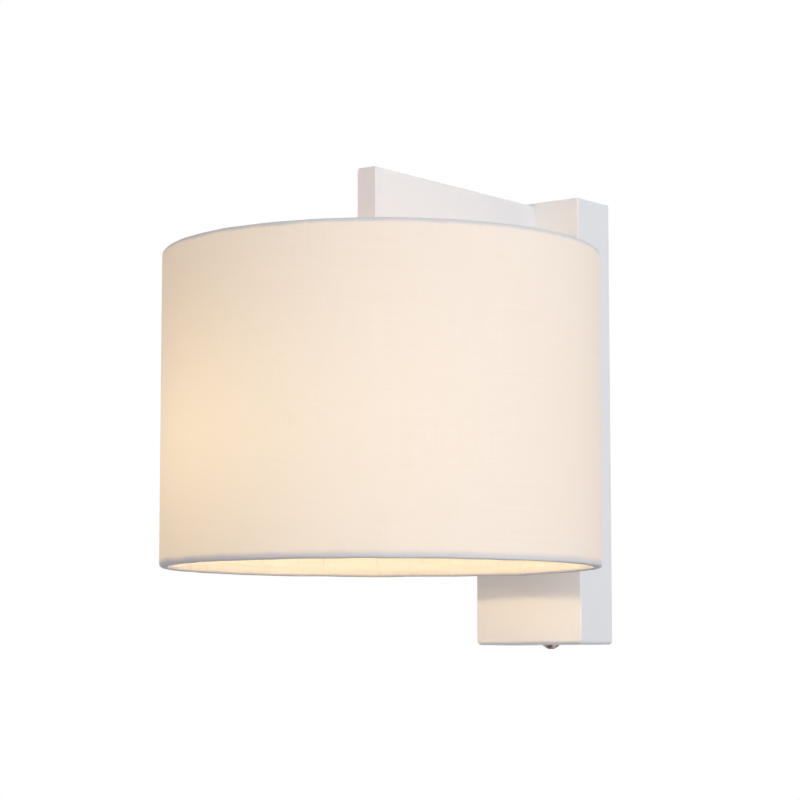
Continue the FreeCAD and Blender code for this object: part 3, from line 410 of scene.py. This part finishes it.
def liner_sheet():
    """Thin styrene liner behind the cloth, which the lamp lights from inside."""
    material, g = new_material("liner")
    place = g.place()
    grain = g.noise(place, scale=900.0)
    g.surface(
        Base_Color=g.clouds(place, scale=35.0, dark=(0.80, 0.705, 0.685), light=(0.83, 0.735, 0.715)),
        Roughness=0.55,
        Normal=g.bump(grain, distance=0.03 * MM, strength=0.4),
    )
    return material


def cloth_weave(g, place, along, z):
    """Height of a plain weave whose threads wander a little, from 0 to 2."""
    sway = g.math("MULTIPLY", g.math("SUBTRACT", g.noise(place, scale=25.0), 0.5), THREAD_SWAY)
    warp = g.math("SINE", g.math("MULTIPLY", g.math("ADD", along, sway), math.pi / THREAD_PITCH_X))
    weft = g.math("SINE", g.math("MULTIPLY", g.math("ADD", z, sway), math.pi / THREAD_PITCH_Z))
    ridge = g.math("ADD", g.math("MULTIPLY", warp, warp), g.math("MULTIPLY", weft, weft))
    return g.math("ADD", g.math("MULTIPLY", warp, weft), g.math("MULTIPLY", ridge, 0.5))


def streaks(g, along, z, scale_along, scale_z, seed, detail=2.0):
    """Noise stretched along the threads of one direction."""
    point = g.join(g.math("MULTIPLY", along, scale_along), seed, g.math("MULTIPLY", z, scale_z))
    return g.noise(point, 1.0, detail)


def lamp_colour(g, place):
    """The lamp's light through the cloth: an even part, and one that falls with distance."""
    reach = g.vector_math("DISTANCE", place, GLOW_PLACE).outputs["Value"]
    near = g.math("POWER", g.math("DIVIDE", SHADE_RADIUS, reach), GLOW_FALL)
    return g.vector_math("MULTIPLY_ADD", NEAR_GLOW, near, EVEN_GLOW).outputs[0]


def lamp_share(g, place, angle, radius, z):
    """How much of that light passes.

    It is less at the seam and where the cloth covers the hoops, and none on the side turned in.
    """
    shift = g.math("SUBTRACT", g.noise(place, scale=70.0), 0.5)
    edge_z = g.math("ADD", z, g.math("MULTIPLY", shift, GLOW_EDGE_WANDER))
    bottom_dark, bottom_bright = (SHADE_BOTTOM + height for height in GLOW_FADE_BOTTOM)
    top_bright, top_dark = (SHADE_TOP - depth for depth in GLOW_FADE_TOP)
    above = g.ramp(edge_z, bottom_dark, bottom_bright)
    below = g.ramp(edge_z, top_bright, top_dark, 1.0, 0.0)
    outside = g.ramp(radius, HOOP_RADIUS, HOOP_RADIUS + WIRE_RADIUS)
    apart = g.math("ABSOLUTE", g.math("SUBTRACT", angle, SEAM_ANGLE))
    seam_low, seam_high = (SEAM_OVERLAP / 2 / SHADE_RADIUS * share for share in SEAM_EDGE_SHARES)
    single = g.ramp(apart, seam_low, seam_high, to_low=SEAM_SHARE, to_high=1.0)
    share = g.math("MULTIPLY", outside, single)
    return g.math("MULTIPLY", share, g.math("MULTIPLY", above, below))


def woven_cloth():
    """Plain-weave cloth on the liner, with the lamp's light coming through it."""
    material, g = new_material("shade_cloth")
    place = g.place()
    x, y, z = g.split(place)
    out = g.math("SUBTRACT", y, AXIS_Y)
    angle = g.math("ARCTAN2", out, x)
    radius = g.math("SQRT", g.math("ADD", g.math("MULTIPLY", x, x), g.math("MULTIPLY", out, out)))
    along = g.math("MULTIPLY", angle, SHADE_RADIUS)
    weave = cloth_weave(g, place, along, z)

    warp_streak = streaks(g, along, z, scale_along=1500.0, scale_z=22.0, seed=0.0)
    weft_streak = streaks(g, along, z, scale_along=18.0, scale_z=1400.0, seed=3.0)
    slubs = streaks(g, along, z, scale_along=130.0, scale_z=1500.0, seed=7.0, detail=1.0)
    slub = g.ramp(slubs, *SLUB_LIMITS)
    fleck = g.ramp(g.noise(place, scale=420.0, detail=1.0), *FLECK_LIMITS)
    uneven = g.math("SUBTRACT", g.math("ADD", warp_streak, weft_streak), 1.0)
    tone = g.math("ADD", 1.0, g.math("MULTIPLY", uneven, STREAK_TONE))
    tone = g.math("ADD", tone, g.math("MULTIPLY", weave, WEAVE_TONE))
    tone = g.math("SUBTRACT", tone, g.math("MULTIPLY", slub, SLUB_TONE))
    tone = g.math("SUBTRACT", tone, g.math("MULTIPLY", fleck, FLECK_TONE))
    share = lamp_share(g, place, angle, radius, z)
    glow = g.math("MULTIPLY", share, g.math("POWER", tone, GLOW_TONE_POWER))

    height = g.math("ADD", weave, g.math("MULTIPLY", uneven, STREAK_HEIGHT))
    height = g.math("ADD", height, g.math("MULTIPLY", slub, SLUB_HEIGHT))
    g.surface(
        Base_Color=g.scale_colour(CLOTH_COLOUR, tone),
        Roughness=0.9,
        Emission_Color=g.scale_colour(lamp_colour(g, place), glow),
        Emission_Strength=1.0,
        Sheen_Weight=0.15,
        Sheen_Roughness=0.5,
        Specular_IOR_Level=0.2,
        Normal=g.bump(height, distance=0.035 * MM, strength=0.6),
    )
    return material


def rolled_point(angle, outer_round):
    """A point of the cloth round the hoop, at an angle from outward by way of down.

    Below the hoop's middle both corners are sharper than a plain roll round the wire, as they
    are in the photograph.
    """
    normal = (math.cos(angle), -math.sin(angle))
    corner = ROLL
    if angle < math.pi:
        corner = outer_round if angle < math.pi / 2 else INNER_ROUND
    side = 1 if angle < math.pi / 2 else -1
    radius = HOOP_RADIUS + side * (ROLL - corner) + corner * normal[0]
    height = corner - ROLL + corner * normal[1]
    return radius, height, normal


def cloth_edge(turn_in, outer_round=OUTER_ROUND):
    """The cloth's middle line from its raw edge inside the drum to the hoop's outer side.

    Each point is (radius, height above the hoop, outward normal); the lower edge is described,
    and the upper one is its mirror image.
    """
    inward = (-1.0, 0.0)
    tail = [(TAIL_RADIUS, ROLL + TAIL_START + turn_in * share, inward) for share in TAIL_SHARES]
    bend = (TAIL_RADIUS - TAIL_BEND_IN, ROLL + TAIL_BEND_UP, inward)
    turns = [WRAP_ANGLE * (1 - i / ROLL_STEPS) for i in range(ROLL_STEPS + 1)]
    return [*tail, bend, *(rolled_point(turn, outer_round) for turn in turns)]


def edge_folds(draw):
    """Small slanted folds where the cloth is turned round a hoop."""
    folds = []
    angle = 0.0
    while angle < 2 * math.pi:
        angle += draw.uniform(*FOLD_SPACING) * MM / SHADE_RADIUS
        slant = draw.uniform(-FOLD_SLANT, FOLD_SLANT)
        width = draw.uniform(*FOLD_WIDTHS) * MM
        folds.append(Fold(angle, slant, width, draw.choice(FOLD_HEIGHTS) * MM))
    return folds


def turn_between(angle, other):
    """The shorter turn from one angle round the drum to another."""
    return math.remainder(angle - other, 2 * math.pi)


def fold_lift(folds, angle, along):
    """How far the folds lift the cloth at an angle round the drum and a distance along the roll."""
    lift = 0.0
    for fold in folds:
        apart = turn_between(angle, fold.angle) * SHADE_RADIUS - fold.slant * along
        if abs(apart) < FOLD_REACH * fold.width:
            lift += fold.height * math.exp(-((apart / fold.width) ** 2))
    return lift


def smooth_noise(steps, seed):
    """Smooth noise between -1 and 1, at a place counted in steps."""
    return noise.noise(Vector((steps, seed, 0.0)))


def rolled_edge(angle, hoop_z, up, seed, folds, lifted):
    """One edge of the cloth at an angle round the drum, from where it was cut to its outer side."""
    ragged = smooth_noise(angle * RAGGED_STEPS, seed)
    ragged += FINE_RAGGED_SHARE * smooth_noise(angle * FINE_RAGGED_STEPS, seed + FINE_SEED_STEP)
    wave = EDGE_WAVE * smooth_noise(angle * WAVE_STEPS, seed + WAVE_SEED_STEP)
    outer_round = OUTER_ROUND - OUTER_ROUND_CHANGE * math.cos(angle - SHARPEST_ANGLE)
    near = [fold for fold in folds if abs(turn_between(angle, fold.angle)) < FOLD_SEARCH_ANGLE]
    edge = []
    along = 0.0
    before = None
    for radius, height, normal in cloth_edge(TURN_IN + TURN_IN_CHANGE * ragged, outer_round):
        if before is not None:
            along += math.dist(before, (radius, height))
        before = (radius, height)
        lift = max(0.0, -normal[0]) * fold_lift(near, angle, along)
        lift += SEAM_RISE_AT_EDGE * lifted
        edge.append((radius + normal[0] * lift, hoop_z + up * (height + normal[1] * lift + wave)))
    return edge


def cloth_column(angle, lifted, lower_folds, upper_folds):
    """Points of the cloth at one angle round the drum, from its lower raw edge to its upper one."""
    lower = rolled_edge(angle, BOTTOM_HOOP_Z, 1, LOWER_EDGE_SEED, lower_folds, lifted)
    upper = rolled_edge(angle, TOP_HOOP_Z, -1, UPPER_EDGE_SEED, upper_folds, lifted)
    side_radius = HOOP_RADIUS + ROLL + SEAM_RISE * lifted
    rise = TOP_HOOP_Z - BOTTOM_HOOP_Z
    side = [(side_radius, BOTTOM_HOOP_Z + rise * i / SIDE_STEPS) for i in range(1, SIDE_STEPS)]
    column = [*lower, *side, *reversed(upper)]
    return [Vector((r * math.cos(angle), AXIS_Y + r * math.sin(angle), z)) for r, z in column]


def at_spoke(angle):
    """Whether the cloth's upper edge is snipped there, to clear a spoke."""
    return any(
        abs(math.sin((angle - spoke) / 2)) * 2 * HOOP_RADIUS < SPOKE_RADIUS + SNIP_GAP
        for spoke in SPOKE_ANGLES
    )


def cloth_points(angles, lap_columns):
    """Columns of points round the drum, of which the last ones lie on the first ones.

    The cloth starts to lift an overlap's width before it comes to its own start.
    """
    draw = random.Random(FOLD_SEED)
    lower_folds = edge_folds(draw)
    upper_folds = edge_folds(draw)
    lift_start = len(angles) - 1 - 2 * lap_columns
    columns = []
    for i, angle in enumerate(angles):
        lifted = max(0.0, min(1.0, (i - lift_start) / SEAM_BLEND))
        columns.append(cloth_column(angle, lifted, lower_folds, upper_folds))
    return columns


def to_data(name, mesh):
    """Mesh data under a name, from a mesh in the making."""
    data = bpy.data.meshes.new(name)
    mesh.to_mesh(data)
    mesh.free()
    return data


def cloth_mesh():
    """The drum's cloth as one surface, overlapped at its seam and snipped at the spokes."""
    lap = SEAM_OVERLAP / SHADE_RADIUS
    lap_columns = CLOTH_STEPS * lap / (2 * math.pi)
    start = SEAM_ANGLE - lap / 2
    step = 2 * math.pi / CLOTH_STEPS
    count = CLOTH_STEPS + round(lap_columns)
    columns = cloth_points([start + step * i for i in range(count + 1)], lap_columns)
    mesh = bmesh.new()
    grid = [[mesh.verts.new(point) for point in column] for column in columns]
    rows = len(grid[0]) - 1
    for i in range(count):
        kept_rows = rows - SNIP_ROWS if at_spoke(start + step * (i + 0.5)) else rows
        for j in range(kept_rows):
            mesh.faces.new((grid[i][j], grid[i + 1][j], grid[i + 1][j + 1], grid[i][j + 1]))
    bmesh.ops.recalc_face_normals(mesh, faces=mesh.faces)
    loose = [vertex for vertex in mesh.verts if not vertex.link_faces]
    bmesh.ops.delete(mesh, geom=loose, context="VERTS")
    data = to_data("shade_cloth", mesh)
    for face in data.polygons:
        face.use_smooth = True
    return data


def add_object(name, data):
    thing = bpy.data.objects.new(name, data)
    bpy.context.scene.collection.objects.link(thing)
    return thing


def add_cloth():
    """The drum's cloth: one sheet with its thickness, turned in round both wire rings."""
    piece = add_object("shade_cloth", cloth_mesh())
    piece.data.materials.append(woven_cloth())
    thick = piece.modifiers.new("thickness", "SOLIDIFY")
    thick.thickness = CLOTH_THICKNESS
    thick.offset = 0.0
    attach(piece, "shade")
    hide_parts("shade_fabric")


def metals():
    """Finishes of the bare metal pieces, by the record's slots."""
    fine = 0.01 * MM
    polished = 0.004 * MM
    grey, light_grey, yellow = (0.66, 0.66, 0.64), (0.70, 0.69, 0.66), (0.74, 0.57, 0.30)
    # The chrome's brownish tone and its dark brown clouds are painted reflections
    bright, brown = (0.62, 0.53, 0.47), (0.10, 0.055, 0.035)
    return {
        "plated_steel": metal("plated_steel", grey, 0.34, grain_scale=900.0, depth=fine),
        "chrome": metal(
            "chrome", bright, 0.09, grain_scale=400.0, depth=polished, painted_reflection=brown, cloud_scale=260.0
        ),
        "brass": metal("brass", yellow, 0.30, grain_scale=700.0, depth=fine),
        "nickel": metal("nickel", light_grey, 0.25, grain_scale=700.0, depth=fine),
    }


def moulded_finishes():
    """Finishes of the plastic, rubber, ceramic, coated and black glass pieces, by slot."""
    green, yellow = (0.10, 0.36, 0.10), (0.80, 0.70, 0.08)
    return {
        "rubber": moulded("rubber", (0.05, 0.05, 0.05), roughness=0.75),
        "nylon": moulded("nylon", (0.80, 0.80, 0.77), roughness=0.45),
        "wire_brown": moulded("wire_brown", (0.20, 0.09, 0.05), roughness=0.5),
        "wire_blue": moulded("wire_blue", (0.05, 0.16, 0.42), roughness=0.5),
        "wire_green_yellow": moulded("wire_stripes", green, roughness=0.5, stripe=yellow),
        "holder_plastic": moulded("holder_plastic", (0.83, 0.83, 0.81), roughness=0.35),
        "ceramic": moulded("ceramic", (0.80, 0.78, 0.73), roughness=0.6),
        "frame_wire": moulded("frame_wire", (0.82, 0.82, 0.80), roughness=0.38),
        "black_glass": moulded("black_glass", (0.03, 0.03, 0.04), roughness=0.12),
    }


def dress_nodes():
    """Gives every solid that stays its own procedural material."""
    finishes = {
        **metals(),
        **moulded_finishes(),
        "white_paint": painted_metal(),
        "liner": liner_sheet(),
        "glass": clear_glass(),
        "phosphor": glowing_rod(),
    }
    for part in frame["record"]["subparts"]:
        if part["material_slot"] == "fabric":
            continue
        piece = NODES[part["node"]]
        piece.data.materials.clear()
        piece.data.materials.append(finishes[part["material_slot"]])
    # The lamp's light starts among these, so they cast no shadow
    for name in ("lamp_glass", "lamp_stem", "lamp_filaments", "lamp_supports"):
        NODES[name].visible_shadow = False


def aim(thing, direction):
    """Turns a camera or a light to look in a direction."""
    thing.rotation_mode = "QUATERNION"
    thing.rotation_quaternion = direction.to_track_quat("-Z", "Y")


def add_camera():
    camera = add_object("camera", bpy.data.cameras.new("camera"))
    camera.location = CAMERA_PLACE
    level = math.cos(CAMERA_PITCH)
    ahead = (-math.sin(CAMERA_YAW) * level, math.cos(CAMERA_YAW) * level, math.sin(CAMERA_PITCH))
    aim(camera, Vector(ahead))
    camera.data.sensor_fit = "HORIZONTAL"
    camera.data.sensor_width = SENSOR_WIDTH
    camera.data.lens = CAMERA_LENS
    camera.data.clip_start = CLIP_START
    camera.data.clip_end = CLIP_END
    bpy.context.scene.camera = camera


def add_light(name, kind, place, colour, power):
    light = add_object(name, bpy.data.lights.new(name, kind))
    light.data.color = colour
    light.data.energy = power
    light.location = place
    return light


def add_lamp_light():
    """The lamp's own light, a little below the middle of its rods."""
    place = Vector((0, AXIS_Y, RODS_MIDDLE_Z - LAMP_DROP))
    light = add_light("lamp_light", "POINT", place, LAMP_COLOUR, LAMP_POWER)
    light.data.shadow_soft_size = LAMP_SIZE
    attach(light, "lamp")


def add_softbox(name, place, colour, power):
    """A large square light that faces the shade."""
    light = add_light(name, "AREA", place, colour, power)
    light.data.shape = "SQUARE"
    light.data.size = SOFTBOX
    aim(light, SOFTBOX_AIM - place)


def add_world():
    """White to the eye and in reflections, and a soft light with a colour for each side."""
    world = bpy.data.worlds.new("world")
    bpy.context.scene.world = world
    g = Graph(world)
    x, y, z = g.split(g.add("ShaderNodeTexCoord").outputs["Generated"])
    front = g.math("MAXIMUM", g.math("MULTIPLY", y, -1.0), 0.0)
    below = g.math("MAXIMUM", g.math("MULTIPLY", z, -1.0), 0.0)
    above = g.math("MAXIMUM", z, 0.0)
    soft = g.mix(g.math("MULTIPLY_ADD", x, 0.5, 0.5), rgba(SOFT_LEFT), rgba(SOFT_RIGHT))
    soft = g.mix(front, soft, rgba(SOFT_FRONT))
    soft = g.mix(below, soft, rgba(SOFT_BELOW))
    soft = g.mix(above, soft, rgba(SOFT_ABOVE))
    colour = g.mix(g.seen(), soft, rgba(WHITE))
    g.finish(g.add("ShaderNodeBackground", Color=colour, Strength=1.0), "ShaderNodeOutputWorld")


def add_floor():
    """A pale floor well below the light, white to the eye, that keeps its shadow."""
    mesh = bmesh.new()
    bmesh.ops.create_grid(mesh, x_segments=1, y_segments=1, size=FLOOR_HALF)
    floor = add_object("floor", to_data("floor", mesh))
    floor.location = (0, 0, -FLOOR_DROP)
    material, g = new_material("floor")
    g.surface(
        Base_Color=rgba(FLOOR_COLOUR),
        Roughness=0.9,
        Emission_Color=rgba(WHITE),
        Emission_Strength=g.math("MULTIPLY", g.seen(), FLOOR_WHITE),
    )
    floor.data.materials.append(material)


bpy.context.scene.view_settings.view_transform = "Standard"
add_camera()
add_world()
add_lamp_light()
add_softbox("key", KEY_PLACE, KEY_COLOUR, KEY_POWER)
add_softbox("side", SIDE_PLACE, SIDE_COLOUR, SIDE_POWER)
add_floor()
dress_nodes()
add_cloth()
